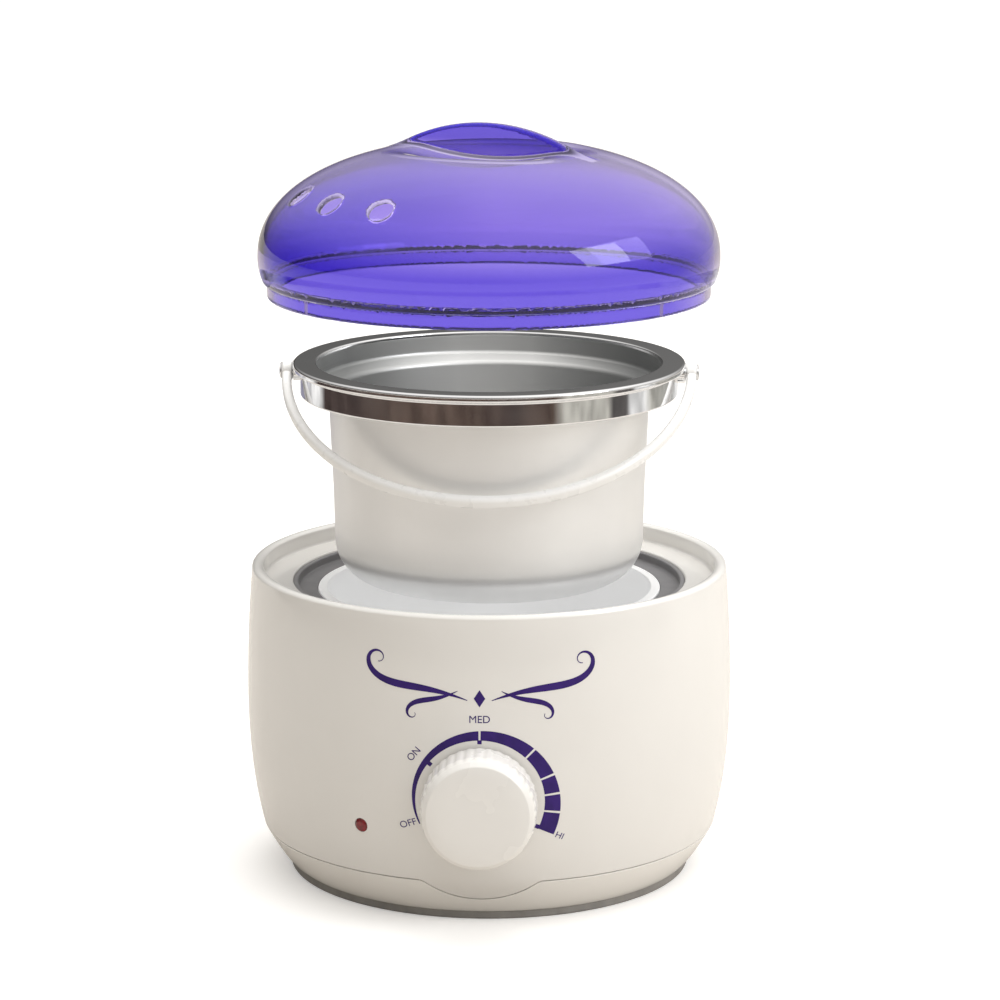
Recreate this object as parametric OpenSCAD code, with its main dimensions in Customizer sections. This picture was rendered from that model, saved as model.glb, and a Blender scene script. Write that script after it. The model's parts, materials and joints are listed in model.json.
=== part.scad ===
// Table-top wax warmer: a heated base, a lift-out pot with a swinging bail, and a see-through lid.
// Millimetres, +Z up. The origin is the centre of the foot ring, on the surface the warmer stands on.
// The dial faces -Y. The warmer is drawn opened out, with the pot over its well and the lid over the pot.

/* [Base] */
// Largest radius of the housing
base_r = 76; // [75:0.5:78]
// Height of the housing's lip above the table
base_h = 97; // [96:0.5:98]
// Height of the widest part of the housing
belly_z = 56; // [54:1:58]
// Radius of the foot ring
foot_r = 63; // [62:0.5:64]
// Height of the seam between the housing and the bottom cover
seam_z = 14.3; // [14:0.1:15]
// Thickness of the moulded walls
shell_t = 2.4; // [2:0.1:2.6]

/* [Well] */
// Inside radius of the heating well
well_r = 50.6; // [50.4:0.1:50.8]
// Thickness of the well's aluminium
well_t = 1.4; // [1.2:0.1:1.5]
// Radius of the opening in the sunken floor
collar_r = 61.3; // [61:0.1:61.5]

/* [Dial] */
// Height of the dial's axis
dial_z = 40.5; // [39:0.5:42]
// Radius of the knob
knob_r = 17.3; // [16.5:0.1:17.5]
// Depth of the knob
knob_depth = 14.5; // [14:0.1:16]
// Number of grip flutes round the knob
knob_flutes = 36; // [24:1:40]
// Turn of the pilot light from the front, towards the left
pilot_turn = 29; // [27:1:31]
// Height of the pilot light
pilot_z = 30; // [29:0.5:31]

/* [Pot] */
// Outside radius of the pot under its rim
pot_r = 49.8; // [49.4:0.1:49.9]
// Outside radius of the pot just above its rounded corner
pot_foot_r = 47.8; // [47:0.1:48.5]
// Thickness of the pot's aluminium
pot_t = 1.2; // [1:0.1:1.4]
// Height of the pot to the top of its rim
pot_h = 68.6; // [68.4:0.1:69]
// Outside radius of the rim's top edge
rim_r = 60.8; // [60.6:0.1:60.9]
// Height of the rim channel
rim_h = 10; // [9.8:0.1:10.2]

/* [Bail] */
// Thickness of the bail, measured outwards
bail_t = 3; // [2.6:0.1:3]
// Width of the bail strap
bail_w = 3.7; // [3.4:0.1:3.8]
// Angle that the bail hangs below level
bail_hang = 28; // [26:1:29]

/* [Lid] */
// Largest radius of the lid
lid_r = 71.2; // [70.8:0.1:71.6]
// Height of the lid from its skirt to the top of its grip
lid_h = 53; // [52.5:0.5:53.5]
// Height of the dome beside the grip
dome_h = 47.5; // [47:0.5:48]
// Thickness of the lid
lid_t = 1.8; // [1.7:0.1:2]
// Turn of the grip, so that its left end is further back
grip_turn = 28; // [20:1:32]
// Thickness of the grip
grip_t = 3.2; // [3:0.1:3.6]

/* [Opened out] */
// Height of the pot's underside
pot_z = 91.7; // [91.7:0.1:93]
// Height of the lid's skirt
lid_z = 181; // [181:0.5:184]

/* [Hidden] */
$fn = 96;

// Base
foot_h = 2.5;
tuck = 15;                      // how far the housing draws in from its belly to the table
lip_in = 1.9;                   // how far it draws in from its belly to its lip
lip_depth = 5.4;
lip_inner_r = 70.6;
floor_z = base_h - lip_depth;
floor_t = 2.2;
lobe_r = 28;                    // the housing's lobe that reaches below the seam under the knob
lobe_low_z = 8;
lobe_z = lobe_low_z + lobe_r;
plate_t = 2.2;
screw_ring_r = 54.5;
screw_turns = [45, 135, 225, 315];
post_r = 3.3;
m3 = 1.5;
m3_head_r = 2.8;
far = 200;                      // longer than anything that it cuts

// Well
collar_z = floor_z - 3;         // the sunken ring that the pot's rim rests over
well_flange_r = 53.6;
well_rim_z = collar_z + 0.3;
pot_rim_low = pot_h - rim_h;    // height of the rim channel above the pot's underside
fit_gap = 0.3;
seated_z = collar_z + fit_gap - pot_rim_low;
well_floor_z = seated_z - fit_gap;
heater_z = [38, 72];
clamp_z = [49, 61];
heater_out_r = well_r + well_t + 2.4;
clamp_t = 0.7;
bridge_z = 24;
bridge_end = 63;                // where the bridge is screwed to the housing
stud_r = 2;

// Cord gland
gland_z = 23;
gland_w = 10;                   // width of the housing's slot for its neck
gland_flange = 7;               // half the width of its flange
gland_low = 17.5;               // bottom of the flange
gland_y = [67.2, 69.2, 75.2, 77.3];     // its inner end, its flange, its neck and its outer end
cord_r = 3.4;

// Dial and thermostat
wall_y = -76.1;                 // just clear of the housing's belly
shaft_r = 3;
neck_r = 5;                     // the thermostat's threaded neck
running = 0.05;
block_y = [-69.5, -59];
arm_pin = [9, 31];              // X and Z of the contact arm's pivot
arm_pin_r = 1;

// Pot and bail
rim_w = 7.4;                    // width of the rim's flat top
pivot_up = 6.5;                 // the bail's pivot above the bottom of the rim channel
pivot_z = pot_z + pot_rim_low + pivot_up;
bail_in_r = rim_r + 0.4;
bail_out_r = bail_in_r + bail_t;
eye_r = 3.2;
pin_r = 1.5;
pin_head_r = 2.5;

// Lid
skirt_r = 68.4;
skirt_h = 4.65;
widest_h = 12;
dome_power = 2.2;
scoop_r = 50;                   // the finger pockets' curve across the grip
scoop_mid = 8;                  // their lowest line beside the grip's middle
scoop_long_r = 111;             // and their curve along it
scoop_low = 41.7;               // the deepest point of a pocket above the skirt
pocket_t = 1.6;                 // thickness of the lid under a pocket
grip_arc_r = 69;
vent_r = 3.9;
vent_turns = [30, 50, 70];
notch_turns = [-51, 51];         // the two notches in the skirt
vent_at = [60, 33];             // radius and height of a steam hole's middle

// Radius of the housing above its seam at height z
function upper_r(z) = z < belly_z
    ? base_r - tuck * (1 - sqrt(1 - pow((belly_z - z) / (belly_z + 1.5), 2)))
    : base_r - lip_in * pow((z - belly_z) / (base_h - belly_z), 2);

// Radius of the outside at height z, tucked in to the foot ring below the seam
function wall_r(z) = z < seam_z
    ? foot_r + (upper_r(seam_z) - foot_r) * pow(max(0, z - foot_h) / (seam_z - foot_h), 0.8)
    : upper_r(z);

// Evenly spaced heights from a to b
function steps(a, b, n) = [for (i = [0:n]) a + (b - a) * i / n];

// Upper outline of the lid's dome, reaching radius r at the widest level and height h on the axis
function dome(r, h) = [for (i = [0:12]) let (t = min(89.9, i * 7.5))
    [r * pow(cos(t), 2 / dome_power), widest_h + (h - widest_h) * pow(sin(t), 2 / dome_power)]];

// Copies at each of the turns about the vertical axis, r out from it
module around(turns, r) {
    for (a = turns) rotate([0, 0, a]) translate([r, 0, 0]) children();
}

// A cylinder along +Y, from y1 to y2
module rod_y(r, y1, y2) {
    translate([0, y1, 0]) rotate([-90, 0, 0]) cylinder(r = r, h = y2 - y1);
}

// A cylinder along +X, from x1 to x2
module rod_x(r, x1, x2) {
    translate([x1, 0, 0]) rotate([0, 90, 0]) cylinder(r = r, h = x2 - x1);
}

// A block centred across X, from y1 to y2 and from z1 to z2
module slab(half_w, y1, y2, z1, z2) {
    translate([-half_w, y1, z1]) cube([2 * half_w, y2 - y1, z2 - z1]);
}

// The same piece on both sides
module both_sides() {
    children();
    mirror([1, 0, 0]) children();
}

// Turned to where the pilot light sits, with +X pointing outwards
module at_pilot() {
    translate([0, 0, pilot_z]) rotate([0, 0, -90 - pilot_turn]) children();
}

// The cylinder behind the knob that shapes the seam's scoop
module lobe(r) {
    translate([0, 0, lobe_z]) rod_y(r, -far, -40);
}

module housing_outline(low_z) {
    outside = [for (z = steps(low_z, base_h - 1.2, 22)) [wall_r(z), z]];
    inside = [for (z = steps(floor_z - floor_t, low_z, 16)) [wall_r(z) - shell_t, z]];
    lip_top = [for (a = [0:30:180])
        let (mid = (wall_r(base_h - 1.2) + lip_inner_r) / 2, half = (wall_r(base_h - 1.2) - lip_inner_r) / 2)
        [mid + half * cos(a), base_h - 1.2 + 1.2 * sin(a)]];
    rotate_extrude() polygon(concat(outside, lip_top,
        [[lip_inner_r, floor_z], [collar_r, floor_z], [collar_r, floor_z - floor_t]], inside));
}

module housing() {
    color([0.93, 0.92, 0.89]) difference() {
        union() {
            difference() {
                housing_outline(lobe_low_z - 1);
                difference() {
                    translate([0, 0, -1]) cylinder(r = far, h = seam_z + 1);
                    lobe(lobe_r);
                }
            }
            around(screw_turns, 0) difference() {
                union() {
                    translate([screw_ring_r, 0, 12]) cylinder(r = post_r, h = 11);
                    translate([screw_ring_r, -1, seam_z + 0.5]) cube([wall_r(16) - screw_ring_r - 1, 2, 8]);
                }
                translate([screw_ring_r, 0, 11]) cylinder(r = m3, h = 10);
            }
            both_sides() translate([59, -5, bridge_z + 1.5]) cube([wall_r(bridge_z) - 60, 10, 5]);
        }
        translate([0, 0, dial_z]) rod_y(neck_r, -80, -60);
        at_pilot() rod_x(2.2, 60, 80);
        slab(gland_w / 2, 60, 80, 0, gland_z + gland_w / 2);
        both_sides() translate([bridge_end, 0, 0]) cylinder(r = m3, h = bridge_z + 6);
    }
}

module bottom_cover() {
    rim_z = seam_z - 0.3;
    outside = [for (z = steps(foot_h, rim_z, 8)) [wall_r(z), z]];
    inside = [for (z = steps(rim_z, foot_h + plate_t, 6)) [wall_r(z) - shell_t, z]];
    tongue_r = wall_r(seam_z) - shell_t - 0.7;
    color([0.90, 0.89, 0.86]) difference() {
        union() {
            difference() {
                rotate_extrude() polygon(concat([[0, foot_h]], outside, inside, [[0, foot_h + plate_t]]));
                lobe(lobe_r + 0.3);
            }
            difference() {
                translate([0, 0, 9]) cylinder(r = tongue_r, h = 8);
                translate([0, 0, 8]) cylinder(r = tongue_r - 1.8, h = 10);
                lobe(lobe_r + 2);
                around(screw_turns, 60) translate([0, -2, 11]) cube([15, 4, 8]);
                slab(gland_w, 60, 80, 11, 19);
            }
            around(screw_turns, screw_ring_r) translate([0, 0, foot_h])
                cylinder(r = post_r + 1, h = 12 - foot_h);
        }
        around(screw_turns, screw_ring_r) {
            cylinder(r = m3 + 0.2, h = 20);
            translate([0, 0, foot_h - 1]) cylinder(r = m3_head_r + 0.3, h = 3.6);
        }
        for (i = [-2:2]) translate([i * 9, 0, 0]) cube([3, 46, 20], center = true);
    }
}

module foot_ring() {
    color([0.62, 0.61, 0.60]) rotate_extrude() polygon([[59.5, 0.5], [60, 0], [foot_r - 0.7, 0],
        [foot_r, 0.7], [foot_r, foot_h], [59.5, foot_h]]);
}

module housing_screws() {
    color([0.70, 0.70, 0.72]) around(screw_turns, screw_ring_r) difference() {
        union() {
            translate([0, 0, 3]) cylinder(r = m3_head_r, h = 2.1);
            translate([0, 0, 5]) cylinder(r = m3, h = 15);
        }
        translate([0, 0, 2.5]) cylinder(r = 1.3, h = 1.7, $fn = 6);
    }
}

module well_collar() {
    color([0.72, 0.72, 0.73]) rotate_extrude() polygon([[52.4, collar_z - 3], [64.5, collar_z - 3],
        [64.5, floor_z - floor_t], [collar_r, floor_z - floor_t], [collar_r, floor_z - 0.6],
        [collar_r - 0.4, floor_z - 0.2], [collar_r - 1.4, floor_z - 0.4], [collar_r - 1.6, collar_z],
        [well_flange_r + 0.2, collar_z], [well_flange_r + 0.2, collar_z - 1], [52.4, collar_z - 1]]);
}

module heating_well() {
    out_r = well_r + well_t;
    low = well_floor_z - well_t;
    corner = 11;
    color([0.80, 0.80, 0.81]) union() {
        rotate_extrude() polygon(concat(
            [[0, low]],
            [for (a = [0:15:90]) [out_r - corner + corner * sin(a), low + corner - corner * cos(a)]],
            [[out_r, collar_z - 1], [well_flange_r, collar_z - 1], [well_flange_r, well_rim_z - 0.5],
                [well_flange_r - 0.5, well_rim_z], [well_r + 0.4, well_rim_z], [well_r, well_rim_z - 0.4]],
            [for (a = [90:-15:0]) [out_r - corner + (corner - well_t) * sin(a),
                low + corner - (corner - well_t) * cos(a)]],
            [[0, well_floor_z]]));
        translate([0, 0, 17]) cylinder(r = stud_r, h = low - 17);
    }
}

module well_bridge() {
    color([0.66, 0.67, 0.69]) difference() {
        translate([-66, -6, bridge_z]) cube([132, 12, 1.5]);
        cylinder(r = stud_r + 0.2, h = far);
        both_sides() translate([bridge_end, 0, 0]) cylinder(r = m3 + 0.2, h = far);
    }
}

module bridge_screws() {
    color([0.70, 0.70, 0.72]) both_sides() translate([bridge_end, 0, 0]) {
        translate([0, 0, bridge_z - 2]) cylinder(r = m3_head_r, h = 2);
        translate([0, 0, bridge_z]) cylinder(r = m3, h = 6);
    }
}

module stud_nut() {
    color([0.70, 0.70, 0.72]) translate([0, 0, bridge_z - 3.2]) difference() {
        cylinder(r = 4, h = 3.2, $fn = 6);
        translate([0, 0, -1]) cylinder(r = stud_r, h = 6);
    }
}

// A ring round the well from r1 to r2 between two heights, open at the rear for the clamp's screw
module band(r1, r2, z, gap) {
    difference() {
        translate([0, 0, z[0]]) cylinder(r = r2, h = z[1] - z[0]);
        cylinder(r = r1, h = far);
        translate([-gap / 2, 0, 0]) cube([gap, far, far]);
    }
}

module heater_band() {
    color([0.86, 0.50, 0.20]) band(well_r + well_t, heater_out_r, heater_z, 6);
}

module heater_clamp() {
    mid_z = (clamp_z[0] + clamp_z[1]) / 2;
    color([0.72, 0.73, 0.75]) difference() {
        union() {
            band(heater_out_r, heater_out_r + clamp_t, clamp_z, 8);
            both_sides() translate([4, heater_out_r, clamp_z[0]]) cube([1, 8, clamp_z[1] - clamp_z[0]]);
        }
        translate([0, heater_out_r + 4, mid_z]) rod_x(m3, -10, 10);
    }
}

module clamp_screw() {
    color([0.70, 0.70, 0.72]) translate([0, heater_out_r + 4, (clamp_z[0] + clamp_z[1]) / 2]) {
        rod_x(m3, -8, 5);
        rod_x(m3_head_r, 5, 7);
        difference() {
            rod_x(3, -7.4, -5, $fn = 6);
            rod_x(m3, -9, 0);
        }
    }
}

module thermal_fuse() {
    color([0.85, 0.84, 0.80]) rotate([0, 0, 150]) translate([well_r + well_t + 2, 0, 34.5]) {
        rod_y(2, -6, 6);
        rod_y(0.5, -10, 10);
    }
}

module fuse_clip() {
    color([0.72, 0.73, 0.75]) rotate([0, 0, 150]) translate([well_r + well_t + 2, 0, 34.5]) difference() {
        rod_y(2.6, -2.5, 2.5);
        rod_y(2, -4, 4);
        translate([-5 - 1.9, -5, -5]) cube([5, 10, 10]);
    }
}

module thermostat_body() {
    color([0.88, 0.86, 0.80]) difference() {
        union() {
            translate([-12, block_y[0], 26]) cube([24, block_y[1] - block_y[0], 28]);
            translate([0, 0, dial_z]) rod_y(neck_r, -80.2, block_y[0]);
            translate([-9, -64, 28]) cylinder(r = 1.2, h = 1.2);
        }
        translate([0, 0, dial_z]) rod_y(shaft_r + running, -90, -50);
        difference() {
            translate([-13, block_y[0] + 2.3, 28.5]) cube([24.2, block_y[1] - block_y[0] - 4.6, 5]);
            translate([-9, -64, 28]) cylinder(r = 1.2, h = 1.2);
        }
        translate([arm_pin[0], 0, arm_pin[1]]) rod_y(arm_pin_r + running, -90, -50);
    }
}

module thermostat_nut() {
    color([0.76, 0.74, 0.66]) translate([0, 0, dial_z]) difference() {
        rod_y(8, wall_y - 2.8, wall_y, $fn = 6);
        rod_y(neck_r, -90, -60);
    }
}

module thermostat_shaft() {
    color([0.80, 0.80, 0.82]) translate([0, 0, dial_z]) difference() {
        rod_y(shaft_r, -88.2, block_y[1] + 0.5);
        translate([-5, -90, 1.6]) cube([10, 9, 5]);
    }
}

module contact_arm() {
    color([0.80, 0.62, 0.32]) translate([arm_pin[0], 0, arm_pin[1]]) {
        rod_y(arm_pin_r, block_y[0] + 0.3, block_y[1] - 0.3);
        rod_y(1.6, block_y[0] + 2.8, block_y[1] - 2.8);
        translate([-20, block_y[0] + 2.8, -0.4]) cube([20, block_y[1] - block_y[0] - 5.6, 0.8]);
        translate([-18, -64, -1.5]) cylinder(r = 1.2, h = 1.3);
    }
}

module indicator_lens() {
    face = wall_r(pilot_z) + 0.2;
    crown = [for (a = [0:15:90]) [2.2 * cos(a), face - 0.9 + 0.9 * sin(a)]];
    color([0.85, 0.06, 0.08]) at_pilot() rotate([0, 90, 0]) rotate_extrude() polygon(concat(
        [[0, 72.5], [1.55, 72.5], [1.55, 70], [3.2, 70], [3.2, 71.4], [2.2, 71.4]], crown));
}

module indicator_led() {
    color([0.90, 0.30, 0.30]) at_pilot() {
        rod_x(1.5, 67.4, 72);
        rod_x(1.9, 67.4, 68.2);
    }
}

module led_board() {
    color([0.20, 0.42, 0.26]) at_pilot() translate([66, -5, -5]) cube([1.4, 10, 10]);
}

module terminal_block() {
    color([0.88, 0.87, 0.84]) translate([-13, 40, foot_h + plate_t]) difference() {
        cube([26, 12, 11]);
        for (x = [6, 13, 20]) translate([x, 6, 6]) cylinder(r = 2, h = 9);
    }
}

// A round tube swept along a list of points, closed at both ends
module tube(points, r, sides) {
    last = len(points) - 1;
    rings = [for (i = [0:last])
        let (d = points[min(i + 1, last)] - points[max(i - 1, 0)],
            t = d / norm(d),
            u = cross(t, abs(t[2]) < 0.7 ? [0, 0, 1] : [1, 0, 0]),
            v = cross(t, u / norm(u)))
        [for (k = [0:sides - 1]) let (turn = 360 * k / sides)
            points[i] + r * (cos(turn) * u / norm(u) + sin(turn) * v)]];
    polyhedron([for (ring = rings) each ring], concat(
        [[for (k = [0:sides - 1]) k]],
        [for (i = [0:last - 1]) for (k = [0:sides - 1]) let (n = (k + 1) % sides)
            [i * sides + k, (i + 1) * sides + k, (i + 1) * sides + n, i * sides + n]],
        [[for (k = [sides - 1:-1:0]) last * sides + k]]));
}

// A lead's route from the terminal block round the inside of the bottom cover and up to the thermostat
function lead_route() = concat(
    [[13, 46, 7], [17, 48, 7], [22, 51.5, 7]],
    [for (a = [60:-7:-80]) [60.5 * cos(a), 60.5 * sin(a), 7]],
    [[9.5, -60.6, 8], [9, -61, 10.5], [9, -61.2, 15], [9, -61.5, 26]]);

module supply_leads() {
    color([0.25, 0.35, 0.75]) both_sides() tube(lead_route(), 1.1, 8);
}

module heater_leads() {
    color([0.80, 0.20, 0.15]) both_sides() {
        translate([7, -62, 54]) cylinder(r = 1, h = 8, $fn = 24);
        translate([7, -62, 62]) sphere(r = 1, $fn = 24);
        translate([7, 0, 62]) rod_y(1, -62, -heater_out_r, $fn = 24);
    }
}

// The bush that the mains cord comes in through, trapped between the housing's slot and the bottom cover
module cord_gland() {
    neck = gland_w / 2 - 0.1;
    color([0.88, 0.87, 0.84]) difference() {
        union() {
            slab(neck, gland_y[0], gland_y[2], seam_z + 0.1, gland_z + neck);
            slab(gland_flange, gland_y[0], gland_y[1], gland_low, gland_z + gland_flange);
            translate([0, 0, gland_z]) rod_y(neck, gland_y[1], gland_y[3]);
        }
        translate([0, 0, gland_z]) rod_y(cord_r, 60, 80);
    }
}

module knob() {
    front_y = wall_y - 0.5 - knob_depth;
    color([0.95, 0.94, 0.92]) translate([0, 0, dial_z]) difference() {
        union() {
            difference() {
                union() {
                    rod_y(knob_r, front_y + 1.5, wall_y - 0.5);
                    rod_y(knob_r - 0.6, front_y + 0.6, front_y + 2);
                    rod_y(knob_r - 1.8, front_y, front_y + 2);
                }
                rod_y(knob_r - 2.2, front_y + 2.2, 0);
                for (i = [0:knob_flutes - 1]) rotate([0, i * 360 / knob_flutes, 0])
                    translate([knob_r + 0.35, 0, 0]) rod_y(0.8, front_y + 2.5, 0, $fn = 16);
            }
            rod_y(6, front_y + 1, -80.6);
        }
        difference() {
            rod_y(shaft_r, -88.2, -70);
            translate([-5, -90, 1.6]) cube([10, 9, 5]);
        }
    }
}

module knob_clip() {
    color([0.72, 0.73, 0.75]) translate([0, 0, dial_z]) difference() {
        rod_y(6.7, -86, -82);
        rod_y(6, -90, -80);
        translate([-1.5, -90, 0]) cube([3, 20, 10]);
    }
}

// Side of the pot at height z above its rounded corner
function pot_side(z) = pot_foot_r + (pot_r - pot_foot_r) * (z - 13) / (59 - 13);

module pot_shell() {
    corner = 13;
    bend = [for (a = [0:10:90]) [sin(a), 1 - cos(a)]];
    outside = concat([[0, 0]], [for (p = bend) [pot_foot_r - corner + corner * p[0], corner * p[1]]],
        [[pot_side(59), 59], [rim_r - rim_w + pot_t, 60.8], [rim_r - rim_w + pot_t, pot_h - 1.2]]);
    inside = concat([[rim_r - rim_w, pot_h - 1.2], [rim_r - rim_w, 61.6], [pot_side(59) - pot_t, 59.9]],
        [for (i = [len(bend) - 1:-1:0]) [pot_foot_r - corner + (corner - pot_t) * bend[i][0],
            pot_t + (corner - pot_t) * bend[i][1]]], [[0, pot_t]]);
    color([0.80, 0.80, 0.79]) translate([0, 0, pot_z]) rotate_extrude() polygon(concat(outside, inside));
}

module pot_rim() {
    band_r = rim_r - 2.3;
    t = 1.2;
    color([0.78, 0.78, 0.80]) difference() {
        translate([0, 0, pot_z]) rotate_extrude() polygon([
            [rim_r - rim_w, pot_h - t], [rim_r - rim_w, pot_h - 0.3], [rim_r - rim_w + 0.3, pot_h],
            [rim_r - 0.6, pot_h],
            [rim_r, pot_h - 0.5], [rim_r, pot_h - 1.7], [rim_r - 0.6, pot_h - 2.2], [band_r, pot_h - 2.6],
            [band_r, pot_rim_low + 0.4], [band_r - 0.4, pot_rim_low], [54.8, pot_rim_low],
            [54.8, pot_rim_low + t], [band_r - t, pot_rim_low + t], [band_r - t, pot_h - t]]);
        translate([0, 0, pivot_z]) both_sides() rod_x(eye_r, 57, 65);
    }
}

module bail_ears() {
    color([0.76, 0.76, 0.78]) translate([0, 0, pivot_z]) both_sides() difference() {
        rod_x(eye_r, 57, rim_r + 0.1);
        rod_x(pin_r + running, 57.6, 65);
    }
}

module bail_pins() {
    color([0.80, 0.80, 0.82]) translate([0, 0, pivot_z]) both_sides() {
        rod_x(pin_r, 58, bail_out_r + 0.4);
        rod_x(pin_head_r, bail_out_r + 0.1, bail_out_r + 0.9);
    }
}

module bail() {
    side = bail_w / 2;
    color([0.94, 0.94, 0.92]) translate([0, 0, pivot_z]) rotate([bail_hang, 0, 0]) difference() {
        union() {
            intersection() {
                rotate_extrude() polygon([
                    [bail_in_r, 0.7 - side], [bail_in_r + 0.7, -side], [bail_out_r - 0.7, -side],
                    [bail_out_r, 0.7 - side], [bail_out_r, side - 0.7], [bail_out_r - 0.7, side],
                    [bail_in_r + 0.7, side], [bail_in_r, side - 0.7]]);
                translate([-far / 2, -far, -far / 2]) cube([far, far, far]);
            }
            both_sides() rod_x(eye_r, bail_in_r - 0.05, bail_out_r + 0.05);
        }
        both_sides() rod_x(pin_r + running, 55, 70);
    }
}

// The two scoops beside the grip, grown outwards by more
module scoops(more) {
    axis_h = scoop_low + scoop_r;
    rotate([0, 0, -grip_turn]) for (side = [0, 180]) rotate([0, 0, side]) intersection() {
        translate([0, -scoop_mid, axis_h]) rotate([0, 90, 0]) rotate_extrude() intersection() {
            translate([scoop_r - scoop_long_r, 0]) circle(r = scoop_long_r + more, $fn = 180);
            translate([0, -far / 2]) square([far, far]);
        }
        translate([-far / 2, more - grip_t / 2 - far, 0]) cube([far, far, far]);
    }
}

module lid() {
    flare = [for (z = [skirt_h, 6.5, 8.5, 10.5])
        [lid_r - 1.6 * pow((widest_h - z) / (widest_h - skirt_h), 2), z]];
    outside = concat([[0, 0], [skirt_r, 0], [skirt_r, skirt_h]], flare, dome(lid_r, dome_h));
    inside = concat([[0, -1], [skirt_r - lid_t, -1], [skirt_r - lid_t, skirt_h + 0.6],
        [lid_r - lid_t - 0.8, 7.5]], dome(lid_r - lid_t, dome_h - lid_t));
    color([0.40, 0.30, 0.80, 0.6]) translate([0, 0, lid_z]) difference() {
        union() {
            rotate_extrude() polygon(concat(outside, [[0, dome_h]]));
            rotate([0, 0, -grip_turn]) translate([0, grip_t / 2, 0]) rotate([90, 0, 0])
                linear_extrude(grip_t) intersection() {
                    translate([0, lid_h - grip_arc_r]) circle(r = grip_arc_r, $fn = 180);
                    translate([-34, 38]) square([68, 30]);
                }
        }
        scoops(0);
        difference() {
            rotate_extrude() polygon(concat(inside, [[0, dome_h - lid_t]]));
            scoops(pocket_t);
        }
        for (a = vent_turns) rotate([0, 0, -90 - a]) translate([vent_at[0], 0, vent_at[1]]) rotate([0, 46, 0])
            translate([0, 0, -8]) cylinder(r = vent_r, h = 16);
        for (a = notch_turns) rotate([0, 0, a - 90])
            translate([skirt_r - 3, -0.4, -1]) cube([4, 0.8, skirt_h + 1]);
    }
}

housing();
bottom_cover();
foot_ring();
housing_screws();
well_collar();
heating_well();
well_bridge();
bridge_screws();
stud_nut();
heater_band();
heater_clamp();
clamp_screw();
thermal_fuse();
fuse_clip();
thermostat_body();
thermostat_nut();
thermostat_shaft();
contact_arm();
indicator_lens();
indicator_led();
led_board();
terminal_block();
supply_leads();
heater_leads();
cord_gland();
knob();
knob_clip();
pot_shell();
pot_rim();
bail_ears();
bail_pins();
bail();
lid();
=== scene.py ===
import json
import math
from itertools import product

import bpy
import numpy as np
from mathutils import Matrix, Vector

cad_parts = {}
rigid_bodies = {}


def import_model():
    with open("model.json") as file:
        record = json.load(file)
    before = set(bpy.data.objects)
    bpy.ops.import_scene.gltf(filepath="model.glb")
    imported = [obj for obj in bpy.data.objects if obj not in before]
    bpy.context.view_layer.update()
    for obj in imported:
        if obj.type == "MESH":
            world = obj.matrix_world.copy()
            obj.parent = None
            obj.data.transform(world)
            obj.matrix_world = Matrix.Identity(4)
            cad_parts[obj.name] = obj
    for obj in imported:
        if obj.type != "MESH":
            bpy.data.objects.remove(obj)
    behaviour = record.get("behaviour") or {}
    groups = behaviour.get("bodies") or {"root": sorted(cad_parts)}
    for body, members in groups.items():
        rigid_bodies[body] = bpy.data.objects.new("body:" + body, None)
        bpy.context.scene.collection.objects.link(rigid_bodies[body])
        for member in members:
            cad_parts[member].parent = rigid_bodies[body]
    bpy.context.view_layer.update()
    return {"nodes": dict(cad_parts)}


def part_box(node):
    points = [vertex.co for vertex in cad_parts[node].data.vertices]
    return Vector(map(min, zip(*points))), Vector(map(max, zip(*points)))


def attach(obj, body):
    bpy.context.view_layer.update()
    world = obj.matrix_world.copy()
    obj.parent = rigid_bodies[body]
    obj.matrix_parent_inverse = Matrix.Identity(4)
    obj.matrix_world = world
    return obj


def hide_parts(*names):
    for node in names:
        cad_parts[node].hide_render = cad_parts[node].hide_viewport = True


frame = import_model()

# Table-top wax warmer: base with a dial, pot with a bail, see-through lid. Shapes are drawn in
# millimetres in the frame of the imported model, with the dial towards -Y, and scaled to metres last.

MM = 0.001
scene = bpy.context.scene


def cad(node):
    """The lowest and highest corners of a CAD node, in millimetres."""
    low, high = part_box(node)
    return [c / MM for c in low], [c / MM for c in high]


# ---------------------------------------------------------------- sizes

BASE_R = cad("housing")[1][0]
BASE_H = cad("housing")[1][2]
BELLY_Z = 56.0
SEAM_Z = 14.3
SEAM_GAP = 0.3
FOOT_R, FOOT_H = cad("foot_ring")[1][0], cad("foot_ring")[1][2]
SHELL_T = 2.4
TUCK, LIP_IN = 15.0, 1.9
LIP_INNER_R = 70.6
FLOOR_Z, FLOOR_T = BASE_H - 5.4, 2.2
COLLAR_R, COLLAR_Z = 61.3, FLOOR_Z - 3.0
LOBE_R, LOBE_Z = 28.0, 36.0
PLATE_T = 2.2

WELL_R, WELL_T, WELL_CORNER = 50.6, 1.4, 11.0
WELL_FLANGE_R = 53.6
WELL_FLOOR_Z = 30.0
WELL_RIM_Z = COLLAR_Z + 0.3

DIAL_Z = 40.5
KNOB_R, KNOB_FLUTES = 17.3, 36
KNOB_FRONT, KNOB_BACK = cad("knob")[0][1], cad("knob")[1][1]
PILOT_Z, PILOT_TURN, PILOT_R = 30.0, 29.0, 2.2
GLAND_Z, GLAND_W = 23.0, 10.0

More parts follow.
